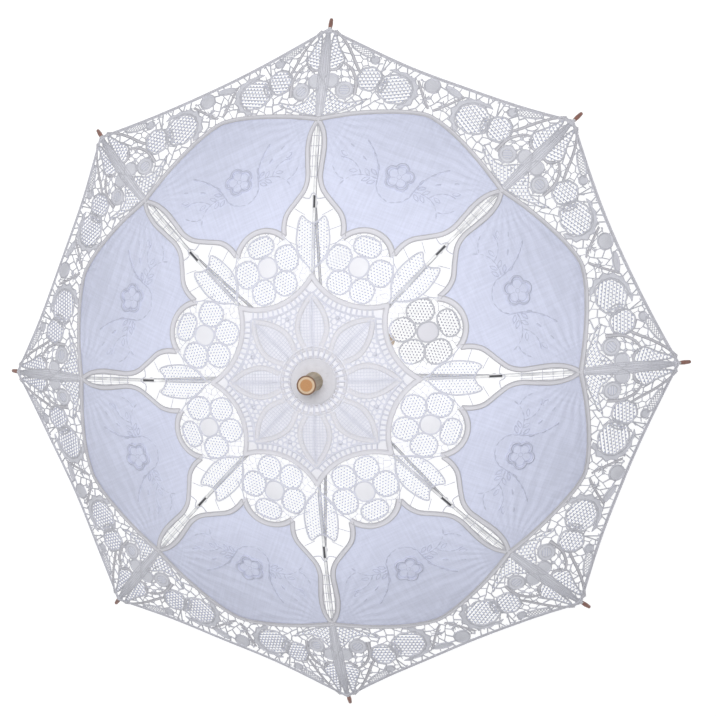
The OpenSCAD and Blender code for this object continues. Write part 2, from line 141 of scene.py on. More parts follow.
class Dome:
    """One gore of the open canopy: part of a cylinder that runs straight across it."""

    def __init__(self):
        points = np.array([v.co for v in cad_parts["canopy_1"].data.vertices]) / MM
        points = points[points[:, 1] > 2]
        out = points[:, 0] * math.cos(HALF) + points[:, 1] * math.sin(HALF)
        up = points[:, 2]
        # the circle that lies nearest to the points of both faces
        sides = np.column_stack([out, up, np.ones(len(out))])
        middle = np.linalg.lstsq(sides, out**2 + up**2, rcond=None)[0] / 2
        self.out, self.up = middle[:2]
        reach = np.hypot(out - self.out, up - self.up)
        self.radius = (reach.min() + reach.max()) / 2

    def slope(self, out):
        """How much shorter a step outwards looks in plan."""
        return np.sqrt(1 - ((out - self.out) / self.radius) ** 2)

    def place(self, points):
        """Points in plan, laid on the gore that is middled on the X axis."""
        across, out, lift = points.T
        turn = np.arcsin((out - self.out) / self.radius)
        reach = self.radius + lift
        return MM * np.column_stack(
            [self.out + reach * np.sin(turn), -across, self.up + reach * np.cos(turn)])


dome = Dome()


# ---- curves in plan ----

def towards(turn):
    """A step of 1 at an angle in radians."""
    return np.array([math.cos(turn), math.sin(turn)])


def smooth(points, step=STEP, closed=False):
    """An even curve through points."""
    points = np.array(points, float)
    if closed:
        around = np.vstack([points[-1:], points, points[:2]])
    else:
        around = np.vstack([2 * points[0] - points[1], points, 2 * points[-1] - points[-2]])
    curve = []
    for a, b, c, d in zip(around, around[1:], around[2:], around[3:]):
        for t in np.arange(0, 1, 0.05):
            curve.append(0.5 * (2 * b + (c - a) * t + (2 * a - 5 * b + 4 * c - d) * t**2
                                + (3 * b - a - 3 * c + d) * t**3))
    curve.append(points[0] if closed else points[-1])
    return even(np.array(curve), step, closed)


def even(curve, step, closed=False):
    """The same curve with its points a step apart."""
    along = np.concatenate([[0], np.cumsum(np.linalg.norm(np.diff(curve, axis=0), axis=1))])
    count = max(2, round(along[-1] / step) + 1)
    at = np.linspace(0, along[-1], count)
    spaced = np.column_stack([np.interp(at, along, curve[:, k]) for k in (0, 1)])
    return spaced[:-1] if closed else spaced


def arc(centre, radius, first, last):
    """Part of a circle, from one angle to another, in degrees from the across axis."""
    count = max(3, round(abs(math.radians(last - first)) * radius / STEP) + 1)
    turn = np.radians(np.linspace(first, last, count))
    return np.column_stack([centre[0] + radius * np.cos(turn), centre[1] + radius * np.sin(turn)])


def oval(centre, half_width, half_height, lean=0, step=STEP, square=1.0):
    """A closed oval, leant by an angle in degrees, and squarer below 1."""
    count = max(8, round(math.pi * (half_width + half_height) / step))
    turn = np.linspace(0, 2 * math.pi, count, endpoint=False)
    ring = np.column_stack([half_width * np.sign(np.cos(turn)) * abs(np.cos(turn)) ** square,
                            half_height * np.sign(np.sin(turn)) * abs(np.sin(turn)) ** square])
    c, s = towards(math.radians(lean))
    return ring @ np.array([[c, s], [-s, c]]) + centre


def by_rib(points, side):
    """Points given as (along the rib, away from it towards the gore's middle)."""
    along, away = np.array(points, float).T
    across = away * math.cos(HALF) - along * math.sin(HALF)
    out = along * math.cos(HALF) + away * math.sin(HALF)
    return np.column_stack([-side * across, out])


def joined(*curves):
    return np.vstack(curves)


def contains(outline, points):
    """Which of the points an outline goes round."""
    a, b = outline, np.roll(outline, -1, axis=0)
    x, y = points[:, :1], points[:, 1:]
    straddles = (a[:, 1] > y) != (b[:, 1] > y)
    rise = np.where(b[:, 1] == a[:, 1], 1, b[:, 1] - a[:, 1])
    crossing = a[:, 0] + (y - a[:, 1]) / rise * (b[:, 0] - a[:, 0])
    return (straddles & (x < crossing)).sum(axis=1) % 2 == 1


def gaps(points, line):
    """How far each point is from each point of a line."""
    return np.linalg.norm(points[:, None] - line[None], axis=2)


def kept(start, end, inside, outside=()):
    """The parts of a straight thread within one outline and clear of the others."""
    ahead, cuts = end - start, [0.0, 1.0]
    for outline in (inside, *outside):
        side = np.roll(outline, -1, axis=0) - outline
        back = outline - start
        cross = ahead[0] * side[:, 1] - ahead[1] * side[:, 0]
        cross = np.where(abs(cross) < 1e-9, 1e-9, cross)
        t = (back[:, 0] * side[:, 1] - back[:, 1] * side[:, 0]) / cross
        u = (back[:, 0] * ahead[1] - back[:, 1] * ahead[0]) / cross
        cuts += list(t[(t > 0) & (t < 1) & (u >= 0) & (u < 1)])
    cuts = np.unique(cuts)
    middles = start + np.outer((cuts[1:] + cuts[:-1]) / 2, ahead)
    good = contains(inside, middles)
    for outline in outside:
        good &= ~contains(outline, middles)
    spans = zip(cuts[:-1][good], cuts[1:][good])
    return [(start + a * ahead, start + b * ahead) for a, b in spans]


def sideways(path, closed=False):
    """A step to the left at each point of a path, as long on the dome as a millimetre."""
    if closed:
        ahead = np.roll(path, -1, axis=0) - np.roll(path, 1, axis=0)
    else:
        ahead = np.gradient(path, axis=0)
    slope = dome.slope(path[:, 1])
    along, up = ahead[:, 0], ahead[:, 1] / slope
    size = np.hypot(along, up)
    return np.column_stack([-up / size, along / size * slope])


# ---- flat work ----

def linked(name, data):
    """A new object in the scene."""
    made = bpy.data.objects.new(name, data)
    bpy.context.scene.collection.objects.link(made)
    return made


class Work:
    """Flat work gathered piece by piece, before it is laid on the dome."""

    def __init__(self):
        self.points, self.faces, self.marks, self.area = [], [], [], 0.0

    def put(self, points, faces, marks):
        start = sum(len(p) for p in self.points)
        self.points.append(points)
        self.marks.append(marks)
        self.faces += [[start + i for i in face] for face in faces]

    def laid(self, name):
        """A mesh object of the work, on the gore that is middled on the X axis."""
        mesh = bpy.data.meshes.new(name)
        mesh.from_pydata(dome.place(np.vstack(self.points)).tolist(), [], self.faces)
        corner = np.zeros(len(mesh.loops), np.int32)
        mesh.loops.foreach_get("vertex_index", corner)
        layer = mesh.uv_layers.new(name="weave")
        layer.data.foreach_set("uv", np.vstack(self.marks)[corner].ravel())
        return linked(name, mesh)


class Lace:
    """The lace of one gore, in the pieces that it is sewn from."""

    def __init__(self, sizes):
        self.sizes = sizes
        self.tapes, self.motifs, self.panel, self.lining = Work(), Work(), Work(), Work()
        self.nets = {-1: Work(), 1: Work()}
        self.stitches = {-1: Work(), 1: Work()}

    # tapes and cloth are single sheets until they get their thickness

    def tape(self, path, width=None, lift=0.5):
        """A braid with a plaited cord along each edge."""
        width = width or self.sizes.tape
        path = even(np.array(path), PLAIT / 2)
        run = PLAIT / 2 * np.arange(len(path))
        plait = 0.3 * np.cos(2 * math.pi * run / PLAIT)
        side = sideways(path)
        profile = ((-1, 0), (-0.84, 0.75), (-0.62, 0.1), (0, 0.25),
                   (0.62, 0.1), (0.84, 0.75), (1, 0))
        rows = []
        for place, height in profile:
            edge = abs(place) == 0.84
            step = place * width / 2
            rise = lift + height * 0.8 + (plait if edge else 0)
            rows.append(np.column_stack([path + side * step, np.broadcast_to(rise, len(path))]))
        points = np.stack(rows, axis=1).reshape(-1, 3)
        n = len(profile)
        faces = [(n * i + j, n * i + j + 1, n * (i + 1) + j + 1, n * (i + 1) + j)
                 for i in range(len(path) - 1) for j in range(n - 1)]
        marks = np.array([(x, 3 * place) for x in run for place, _ in profile])
        self.tapes.put(points, [face[::-1] for face in faces], marks)
        self.tapes.area += run[-1] * width

    def cloth(self, outline, lift=0.45, dome_up=0.0, work=None, grid=4.0, ripple=None):
        """A piece of cloth inside an outline, a little fuller in its middle."""
        work = work or self.motifs
        outline = np.array(outline)
        low, high = outline.min(axis=0), outline.max(axis=0)
        spots = np.array([(x, y + (grid / 2 if i % 2 else 0))
                          for i, x in enumerate(np.arange(low[0], high[0], grid * 0.87))
                          for y in np.arange(low[1], high[1], grid)])
        spots = spots[contains(outline, spots)]
        spots = spots[gaps(spots, outline).min(axis=1) > grid * 0.45]
        ring = [(i, (i + 1) % len(outline)) for i in range(len(outline))]
        corners = [Vector(p) for p in np.vstack([outline, spots])]
        flat, _, faces, _, _, _ = geometry.delaunay_2d_cdt(corners, ring, [], 1, 1e-5)
        flat = np.array([tuple(p) for p in flat])
        rise = lift + dome_up * (1 - np.exp(-gaps(flat, outline).min(axis=1) / 3))
        if ripple:
            rise = rise + ripple(flat)
        points = np.column_stack([flat, rise])
        turned = []
        for face in faces:
            a, b, c = (flat[i] for i in face[:3])
            left = (b[0] - a[0]) * (c[1] - a[1]) - (b[1] - a[1]) * (c[0] - a[0]) > 0
            turned.append(face if left else face[::-1])
        work.put(points, turned, flat)
        after = np.roll(outline, -1, axis=0)
        plan = abs((outline[:, 0] * after[:, 1] - outline[:, 1] * after[:, 0]).sum()) / 2
        work.area += plan / dome.slope(outline[:, 1].mean())

    # threads are closed tubes, ended at the rib and at the gore's middle

    def thread(self, path, thickness, lift=0.3, sides=4, closed=False, works=None):
        """A thread along a path, which stays within the gore."""
        path = np.array(path, float)
        if closed and self.within(path).all() and (path[:, 0] > 0).min() == (path[:, 0] > 0).max():
            self.tube(path, thickness, lift, sides, True, works)
            return
        if closed:
            path = np.vstack([path, path[:1]])
        for piece in self.split(path):
            self.tube(piece, thickness, lift, sides, False, works)

    @staticmethod
    def within(path):
        """Which points lie between the ribs, short of the tips."""
        return (abs(path[:, 0]) <= path[:, 1] * math.tan(HALF) + 1e-6) & (path[:, 1] < TIP_LIMIT)

    def split(self, path):
        """The path in pieces that each stay on one side of the gore."""
        cuts = [path[:1]]
        for a, b in zip(path, path[1:]):
            shares = [0.0, 1.0]
            for value in (lambda p: p[0], lambda p: p[0] - p[1] * math.tan(HALF),
                          lambda p: p[0] + p[1] * math.tan(HALF)):
                u, v = value(a), value(b)
                if u * v < 0:
                    shares.append(u / (u - v))
            cuts.append(np.array([a + s * (b - a) for s in sorted(shares)[1:]]))
        path = np.vstack(cuts)
        middle = (path[1:] + path[:-1]) / 2
        good = self.within(middle)
        side = middle[:, 0] > 0
        pieces, start = [], None
        for i in range(len(middle)):
            if good[i] and start is None:
                start = i
            ends = start is not None and (
                i + 1 == len(middle) or not good[i + 1] or side[i + 1] != side[i])
            if ends:
                if np.linalg.norm(path[i + 1] - path[start]) > 0.2:
                    pieces.append(path[start:i + 2])
                start = None
        return pieces

    def tube(self, path, thickness, lift, sides, closed, works):
        step = np.linalg.norm(np.diff(path, axis=0), axis=1)
        path = path[np.concatenate([[True], step > 1e-4])]
        if len(path) < 2:
            return
        works = works or self.nets
        work = works[1 if path[:, 0].mean() > 0 else -1]
        side = sideways(path, closed)
        radius = np.broadcast_to(np.array(thickness) / 2, len(path))[:, None]
        turn = 2 * math.pi * (np.arange(sides) + 0.5) / sides
        rings = [np.column_stack([path + side * radius * math.cos(t),
                                  lift + radius * math.sin(t)]) for t in turn]
        points = np.stack(rings, axis=1).reshape(-1, 3)
        count = len(path) if closed else len(path) - 1
        faces = []
        for i in range(count):
            a, b = i * sides, (i + 1) % len(path) * sides
            faces += [(a + j, a + (j + 1) % sides, b + (j + 1) % sides, b + j)
                      for j in range(sides)]
        if not closed:
            faces.append(tuple(range(sides))[::-1])
            faces.append(tuple(range(len(points) - sides, len(points))))
        marks = np.repeat(path, sides, axis=0)
        work.put(points, faces, marks)

    def outline(self, path, thickness=None, closed=True, lift=0.7):
        """The cord that is sewn round a motif."""
        self.thread(path, thickness or self.sizes.outline, lift, 6, closed)

    def bar(self, start, end, thickness=None):
        """A short bar of twisted thread between two motifs."""
        count = max(2, math.ceil(np.linalg.norm(np.subtract(end, start)) / 6) + 1)
        self.thread(np.linspace(start, end, count), thickness or self.sizes.bar, 0.4, 5)

    def net(self, outline, *rows, thickness=None, lift=0.2, works=None):
        """Threads inside an outline, as rows of (angle, spacing)."""
        outline = np.array(outline)
        middle = (outline.min(axis=0) + outline.max(axis=0)) / 2
        reach = np.linalg.norm(outline - middle, axis=1).max() + 1
        for number, (angle, spacing) in enumerate(rows):
            ahead = towards(math.radians(angle))
            aside = np.array([-ahead[1], ahead[0]])
            first = spacing / 2 - math.ceil(reach / spacing) * spacing
            for step in np.arange(first, reach, spacing):
                start = middle + aside * step - ahead * reach
                for a, b in kept(start, start + 2 * ahead * reach, outline):
                    count = max(2, math.ceil(np.linalg.norm(b - a) / 12) + 1)
                    self.thread(np.linspace(a, b, count), thickness or self.sizes.thread,
                                lift + 0.2 * (number % 2), works=works)

    def dots(self, outline, spacing, tilt, size):
        """Close knots of a fine net, in rows."""
        outline = np.array(outline)
        middle = (outline.min(axis=0) + outline.max(axis=0)) / 2
        reach = np.linalg.norm(outline - middle, axis=1).max()
        count = math.ceil(reach / spacing * 1.2)
        c, s = towards(math.radians(tilt))
        rows = [((i + 0.5 * (j % 2)) * spacing, j * spacing * 0.87)
                for i in range(-count, count + 1) for j in range(-count, count + 1)]
        spots = np.array(rows) @ np.array([[c, s], [-s, c]]) + middle
        spots = spots[contains(outline, spots) & self.within(spots)]
        for spot in spots:
            path = spot + np.outer([-size / 2, 0, size / 2], [1, 0])
            self.tube(path, size * np.array([0.5, 1, 0.5]), 0.35, 5, False, self.stitches)

    def ground(self, outline, outside, cell, seed, thickness=None, knots=0.0, stray=0.27):
        """Open six-sided cells inside an outline, clear of the motifs."""
        rng = random.Random(seed)
        outline = np.array(outline)
        low, high = outline.min(axis=0) - cell, outline.max(axis=0) + cell
        side, spots = cell / math.sqrt(3), {}

        def spot(x, y):
            key = (round(x * 4), round(y * 4))
            if key not in spots:
                shift = [rng.uniform(-stray, stray) * cell for _ in (0, 1)]
                spots[key] = np.array([x, y]) + shift
            return spots[key]

        row, y = 0, low[1]
        while y < high[1]:
            x = low[0] + (cell / 2 if row % 2 else 0)
            while x < high[0]:
                top = spot(x, y + side)
                ends = (spot(x, y + 2 * side), spot(x - cell / 2, y + side / 2),
                        spot(x + cell / 2, y + side / 2))
                for end in ends:
                    for a, b in kept(top, end, outline, outside):
                        size = (thickness or self.sizes.bar) * rng.uniform(0.8, 1.3)
                        self.thread(np.array([a, b]), size, 0.3)
                if rng.random() < knots and contains(outline, top[None])[0] \
                        and not any(contains(o, top[None])[0] for o in outside):
                    self.knot(top, 1.5)
                x += cell
            y += 1.5 * side
            row += 1

    def knot(self, centre, radius):
        """A small woven button of thread."""
        if not self.within(np.array([centre]))[0]:
            return
        flat = np.linspace(-radius, radius, 5)
        path = np.column_stack([centre[0] + flat, np.full(5, centre[1])])
        size = 2 * radius * np.sqrt(np.maximum(1 - (flat / radius) ** 2, 0.08))
        self.tube(path, size, 0.5, 8, False, self.nets)

    def spider(self, centre, reach, legs, turn=0.0):
        """Threads that run out from a knot."""
        for k in range(legs):
            end = np.array(centre) + reach * towards(turn + 2 * math.pi * k / legs)
            self.bar(centre, end, self.sizes.thread * 1.4)
        self.knot(centre, 1.9)

    def grain(self, centre, angle, length, width):
        """A leaf of satin stitch."""
        share = np.linspace(-1, 1, 7)
        path = np.array(centre) + np.outer(share * length / 2, towards(math.radians(angle)))
        size = width * np.sqrt(np.maximum(1 - share**2, 0.04))
        self.tube(path, size, 0.25, 6, False, self.stitches)


# ---- the pattern of one gore ----

NECK = 279.5       # along a rib, where four tapes meet
PANEL_TOP = 304.0  # in the gore's middle, the cotton's outer edge
MEDALLION = (0.0, 130.0)
GREY_MEDALLION = (0.1201, 0.0497)  # the first gore's, in metres, coloured greyer
FINE = 0.4         # thickness of the threads in a close net
STAR_CENTRE, STAR_RADIUS = (0.0, 157.0), 68.7
SCALLOP_CENTRE, SCALLOP_RADIUS = (0.0, 137.6), 32.2
CAP_EDGE, CAP_RING = 24.0, 34.5
FLOWER = (0.0, 231.5)
HEM_REACH, HEM_SAG = 387.1, 9.0


def panel_edge():
    """The tape arc between the cotton and the border, from rib to rib."""
    corner = by_rib([(NECK, 0)], 1)[0]
    across = np.linspace(-corner[0], corner[0], 80)
    share = abs(across / corner[0])
    out = PANEL_TOP - (PANEL_TOP - corner[1]) * share**1.5
    return even(np.column_stack([across, out]), STEP)


def tulip_tape(side):
    """The tape from the neck round the spindle and the tulip to the scallop."""
    run = [(NECK, 0), (266, 6.5), (250, 9), (232, 7.8), (217, 6.8), (204, 10),
           (192, 18.5), (178, 29.5), (166, 33), (154, 32.6)]
    return by_rib(smooth(run), side)


def leaf_edge(side):
    """Half the outline of the leaf that lies along a rib, from its tip."""
    run = [(91, 0), (85, 4.6), (75, 11), (64, 15), (54, 15.8), (45, 13.2), (36.5, 9.2)]
    return by_rib(smooth(run), side)


def tulip_petal(side):
    """Half the outline of the tulip, from its notch to its foot."""
    run = [(168, 0), (171.5, 6.8), (176, 12.4), (170, 16), (160, 17.8), (148, 18.4),
           (137, 16), (127, 9.5), (120, 2)]
    return by_rib(smooth(run), side)


def medallion_side(side):
    """The line between a medallion and a tulip."""
    run = [(-44, 104.5), (-42.5, 114), (-38, 124), (-36.8, 134), (-33, 145), (-28, 154)]
    return smooth(run) * [-side, 1]


def scallop():
    return arc(SCALLOP_CENTRE, SCALLOP_RADIUS, 28, 152)


def star_arc():
    return arc(STAR_CENTRE, STAR_RADIUS, -129.5, -50.5)


def hem_edge(inset):
    """The hollow edge of the gore, moved in by a distance."""
    corner = by_rib([(HEM_REACH, 0)], 1)[0]
    radius = (corner[0] ** 2 + HEM_SAG**2) / (2 * HEM_SAG)
    lean = math.degrees(math.asin(corner[0] / radius)) + 1
    middle = (0, corner[1] - HEM_SAG + radius)
    return arc(middle, radius + inset, -90 - lean, -90 + lean)


def draw_centre(lace):
    """Ring of bars round the cap, leaves along the ribs and the star round them."""
    star = joined(star_arc(), arc((0, 0), CAP_EDGE - 2, 67.5, 112.5))
    lace.cloth(star, lift=-0.1, work=lace.lining)
    lace.tape(arc((0, 0), CAP_RING, 64, 116), 3.4)
    lace.tape(arc((0, 0), CAP_EDGE + 2.2, 64, 116), 2.4)
    for angle in (-22.5, -11.25, 0, 11.25, 22.5):
        ahead = np.array([math.sin(math.radians(angle)), math.cos(math.radians(angle))])
        lace.bar((CAP_EDGE + 1) * ahead, (CAP_RING + 0.5) * ahead, 2.6)
    lace.tape(star_arc())
    leaves = []
    for side in (-1, 1):
        leaf = leaf_edge(side)
        lace.tape(leaf, 5.6)
        whole = joined(leaf, by_rib([(36, 0)], side))
        leaves.append(whole + 2.6 * np.pad(sideways(leaf), ((0, 1), (0, 0))) * -side)
        lace.cloth(whole, lift=0.2)
        tilt = 90 - side * 22.5
        lace.net(whole, (tilt, 3.2), (tilt + 90, 3.2), thickness=0.75, lift=0.5)
        lace.thread(by_rib([(88, 0.7), (60, 1.0), (37, 0.7)], side), 1.4, 0.8)
    # a ladder of bars follows the star, and small cells fill the rest
    first, last = STAR_RADIUS + 2.4, STAR_RADIUS + 9.5
    ladder = arc(STAR_CENTRE, last, -117, -63)
    lace.outline(ladder, 2.2, closed=False)
    for angle in np.radians(np.arange(-116, -63, 4.3)):
        lace.bar(STAR_CENTRE + first * towards(angle), STAR_CENTRE + last * towards(angle), 2.2)
    field = joined(ladder, arc((0, 0), CAP_RING + 1, 68, 112))
    lace.ground(field, leaves, 5.6, 2, thickness=2.0, stray=0.2)
    lace.knot((0.01, 71), 2.4)


def draw_medallion(lace):
    """Flower with five net petals under a scallop of tape."""
    lace.tape(scallop(), 6.8, lift=0.7)
    eye = oval(MEDALLION, 10.4, 11, square=0.9)
    lace.cloth(eye, dome_up=0.7, work=lace.lining)
    lace.outline(eye, 2.0)
    petals = []
    spacing = lace.sizes.net * 1.12
    for centre, half_width, half_height, tilt in (
            ((0, 153), 14.8, 10.6, 0),
            ((-23.4, 131.6), 12.6, 14.2, 62), ((23.4, 131.6), 12.6, 14.2, -62),
            ((-12.9, 107.4), 12.4, 13.2, 58), ((12.9, 107.4), 12.4, 13.2, -58)):
        petal = oval(centre, half_width, half_height, square=0.85)
        petals.append(petal)
        lace.net(petal, (tilt, spacing), thickness=FINE)
        lace.dots(petal, spacing, tilt, 1.85)
        lace.outline(petal, 2.0)
    for side in (-1, 1):
        lace.outline(medallion_side(side), 1.4, closed=False)
    edge = joined(medallion_side(-1)[::-1], star_arc(), medallion_side(1), scallop())
    lace.ground(edge, [*petals, eye], 7, 4, thickness=lace.sizes.thread * 0.7)


def draw_tulip(lace):
    """Net tulip on a rib, in a tape that narrows to a spindle."""
    spacing = lace.sizes.net
    for side in (-1, 1):
        tape, petal = tulip_tape(side), tulip_petal(side)
        lace.tape(tape, lift=0.7)
        tilt = 90 - side * 22.5
        half = joined(petal, by_rib([(119, 0)], side))
        lace.net(half, (tilt + 38, spacing), thickness=FINE)
        lace.dots(half, spacing * 1.15, tilt, 1.7)
        lace.outline(petal, 2.0, closed=False)
        lace.thread(by_rib([(167, 0.8), (145, 0.9), (121, 0.5)], side), 0.9, 0.5)
        bracket = smooth([(200.5, 0.3), (198, 2.4), (194.5, 4), (194.5, 8.5), (196, 13.5)])
        lace.outline(by_rib(bracket, side), 1.3, closed=False)
        spindle = tape[:round(len(tape) * 0.46)]
        core = joined(spindle, by_rib([(212, 0), (NECK, 0)], side))
        lace.net(core, (tilt, 2.8), (tilt + 90, 11), thickness=0.8)
        for along, away in ((148, 26), (166, 31), (183, 21)):
            lace.bar(*by_rib([(along - 6, away * 0.45), (along, away)], side), lace.sizes.thread)


def draw_panel(lace):
    """Plain cotton, puckered along its seams and with fans of soft folds at three corners."""
    # out to the middle of the tapes round it
    seam = joined(panel_edge(), tulip_tape(1)[1:], scallop()[1:-1], tulip_tape(-1)[::-1][:-1])
    run = np.concatenate([[0], np.cumsum(np.linalg.norm(np.diff(seam, axis=0), axis=1))])

    def ripple(flat):
        apart = gaps(flat, seam)
        near, at = apart.min(axis=1), run[apart.argmin(axis=1)]
        pucker = 0.32 * np.exp(-near / 7) * np.sin(2 * math.pi * at / 6.5)
        soft = np.array([noise.noise(Vector((abs(x) / 26, y / 26, 0.5))) for x, y in flat])
        fan = 0
        for corner, size, reach, pleats in (
                ((0, PANEL_TOP), 0.6, 30, 13),
                ((-107, 260), 0.75, 62, 34), ((107, 260), 0.75, 62, 34)):
            away = flat - corner
            far = np.linalg.norm(away, axis=1)
            turn = np.arctan2(abs(away[:, 0]), -away[:, 1])
            fan = fan + size * np.exp(-far / reach) * (1 - np.exp(-(far / 16) ** 2)) \
                * np.cos(pleats * turn + 3 * soft)
        return (pucker + fan + 0.7 * soft) * np.clip(near / 2, 0, 1)

    lace.cloth(seam, lift=0.0, work=lace.panel, grid=2.2, ripple=ripple)


def draw_embroidery(lace):
    """Flower of five round lobes on each panel, with fine stems and a few leaves."""
    works = lace.stitches
    lace.thread(lobed(FLOWER, 11, 10.2, 5, 0.42, 54), 2.9, 0.3, 6, True, works)
    lace.thread(lobed(FLOWER, 8.6, 8, 5, 0.42, 54), 0.7, 0.3, 5, True, works)
    for k in range(5):
        ray = np.outer([3.5, 9.5], towards(math.radians(54 + 72 * k)))
        lace.thread(np.array(FLOWER) + ray, 0.7, 0.3, 5, False, works)
    lace.thread(oval(FLOWER, 2.4, 2.4, step=1.5), 0.8, 0.3, 5, True, works)
    stems = ([(-0.5, 203), (-12, 207), (-19, 215), (-21.5, 226), (-27.6, 238.8), (-36.7, 249.4),
              (-47.3, 257)],
             [(-20.5, 222), (-29, 222.6), (-38, 221), (-46, 217), (-52, 210), (-55, 203)],
             [(-38, 221), (-45, 228), (-55, 232), (-66, 231)],
             [(-52, 210), (-62, 212), (-70, 219)])
    leaves = ((-27, 228, 150), (-25.5, 217, 215), (-33.5, 225.5, 140), (-32, 218, 222),
              (-47.5, 222, 200), (-64, 235.5, 160))
    dashes = ((-24.5, 235, 126), (-33.5, 245.6, 132), (-45, 255.4, 144), (-42, 238, 150),
              (-60, 246, 160))
    for side in (-1, 1):
        flip = np.array([-side, 1])
        for stem in stems:
            lace.thread(smooth(stem) * flip, 0.9, 0.2, 5, False, works)
            path = smooth(stem, 7.2) * flip
            for a, b in zip(path, path[1:]):
                angle = math.degrees(math.atan2(*(b - a)[::-1]))
                lace.grain((a + b) / 2, angle, 0.84 * np.linalg.norm(b - a), 1.7)
        for x, y, angle in leaves:
            leaf = oval(flip * (x, y), 4.4, 1.9, angle if side == -1 else 180 - angle, 1.4, 1.5)
            lace.thread(leaf, 1.0, 0.25, 5, True, works)
        for x, y, angle in dashes:
            lace.grain(flip * (x, y), angle if side == -1 else 180 - angle, 6.6, 2.2)


def lobed(centre, half_width, half_height, lobes, depth, lean=0):
    """An oval with a scalloped edge."""
    angle = np.radians(np.arange(0, 360, 5))
    reach = 1 + depth * abs(np.sin(lobes / 2 * (angle - math.radians(lean)))) ** 0.8
    return np.column_stack([centre[0] + half_width * reach * np.cos(angle),
                            centre[1] + half_height * reach * np.sin(angle)])


def draw_border(lace):
    """Lace between the cotton and the hem, much the same both ways from the gore's middle."""
    hem, spacing = lace.sizes.hem, lace.sizes.net * 0.82
    lace.tape(panel_edge(), lift=0.9)
    lace.tape(hem_edge(hem / 2), hem)
    for inset in (0.5, hem - 0.5):
        lace.outline(hem_edge(inset), 1.4, closed=False, lift=0.9)
    field = joined(panel_edge() + [0, lace.sizes.tape / 2], hem_edge(hem)[::-1])
    motifs = []

    def draw(outline, kind, side, tilt=0, cord=2.0):
        shape = np.array(outline) * [-side, 1]
        motifs.append(shape)
        if kind == "cloth":
            lace.cloth(shape, dome_up=0.5)
        elif kind == "net":
            lace.net(shape, (-side * tilt, spacing), (-side * (tilt + 78), spacing))
        elif kind == "lobe":
            lace.net(shape, (-side * tilt, spacing * 1.5), thickness=1.2)
            lace.dots(shape, spacing * 1.6, -side * tilt, 2.1)
        if cord:
            lace.outline(shape, cord)

    for side in (-1, 1):
        flip = np.array([-side, 1])
        band = by_rib([(NECK - 2, 3), (300, 5.4), (330, 6.4), (358, 5.4), (HEM_REACH - 1, 1.6),
                       (HEM_REACH - 1, -0.2), (NECK - 2, -0.2)], side)
        motifs.append(band)
        lace.cloth(band, lift=0.6, dome_up=0.4)
        for away in (1.4, 3.6, 5.8):
            crease = by_rib([(NECK + 4, away * 0.6), (315, away), (345, away * 0.9),
                             (HEM_REACH - 6, away * 0.3)], side)
            lace.thread(smooth(crease), 0.9, 1.1, 5)
        # net triangle and three braids that come from the tip
        draw(smooth([(-138.5, 353), (-126, 341), (-112.8, 326.5), (-122, 313), (-131.5, 330)],
                    closed=True), "lobe", side, 42)
        for braid in ([(-140, 358), (-126, 351), (-112, 340.5), (-98, 327.5), (-90, 321)],
                      [(-115, 325.5), (-104, 323), (-93.5, 315), (-88, 306), (-84.5, 296)],
                      [(-124, 312), (-117, 314.5), (-114, 322)]):
            path = smooth(braid) * flip
            edges = sideways(path)
            motifs.append(joined(path + 1.7 * edges, (path - 1.7 * edges)[::-1]))
            lace.tape(path, 3.6, lift=0.6)
        # two lobes round an open eye, the large one in a crescent of cloth
        draw(lobed((-78.2, 319), 12.6, 13, 7, 0.09, 20), "lobe", side, 24, cord=2.4)
        draw(lobed((-47.4, 318.6), 18.4, 15.6, 9, 0.08, 10), "lobe", side, 28, cord=2.2)
        draw([(-63, 337), (-57, 340.6), (-51, 339), (-45, 340.6), (-39, 338.4), (-33, 337.6),
              (-29.5, 333), (-24.5, 331), (-24, 325), (-20, 320.5), (-23.4, 315), (-23, 308.4),
              (-28.4, 305.4), (-31, 300), (-37, 299.8), (-36, 302.6), (-30, 307.6), (-27, 316),
              (-28.6, 326), (-34.5, 333), (-43, 336.4), (-53, 336.8)], "cloth", side, cord=1.6)
        draw(oval((-62.6, 316.6), 4.6, 8.6, -8), "open", side)
        lace.outline(oval((-62.4, 314.6), 2, 3.2) * flip, 1.2)
        lace.spider(flip * (-62.6, 320), 4, 5, 0.3)
        # two grapes and a close corner by the neck
        draw(oval((-115.4, 301.4), 7.6, 8, 20), "cloth", side)
        draw(oval((-97.4, 297), 9.4, 9), "cloth", side)
        lace.outline(oval((-97.4, 297), 5.8, 5.4) * flip, 1.3)
        lace.net(oval((-97.4, 297), 5, 4.8) * flip, (20, 2.6), lift=0.9, works=lace.stitches)
        draw([(-118, 293), (-108.5, 289.5), (-98, 284), (-89, 284), (-78, 291), (-70, 297.5),
              (-72, 291), (-80, 284), (-88, 276), (-95, 270), (-101, 266), (-106, 262),
              (-110.5, 274)], "lobe", side, 66, cord=1.8)
        for centre, angle in (((-107, 283), 124), ((-114, 288), 118)):
            seed = (centre + np.outer([-3.6, 0, 3.6], towards(math.radians(angle)))) * flip
            lace.thread(seed, [1.0, 2.2, 1.0], 1.2, 6)
        # leaf along the hem, with a close round end
        draw(oval((-100.5, 346.6), 15.5, 4.2, -11), "net", side, 30)
        draw(oval((-83, 341.4), 5.2, 4.6), "cloth", side)
        # open daisy of four knots
        motifs.append(oval((-105.8, 314.6), 10.4, 6.6, -22) * flip)
        knots = [flip * k for k in ((-112, 317.2), (-104.8, 318.6), (-98.8, 312.6), (-107.4, 310))]
        for i, knot in enumerate(knots):
            lace.knot(knot, 2.1)
            lace.bar(knot, knots[(i + 1) % 4])
            away = knot - np.mean(knots, axis=0)
            turn = math.atan2(away[1], away[0])
            for lean in (-0.7, 0.1, 0.8):
                lace.bar(knot, knot + 6.2 * towards(turn + lean))
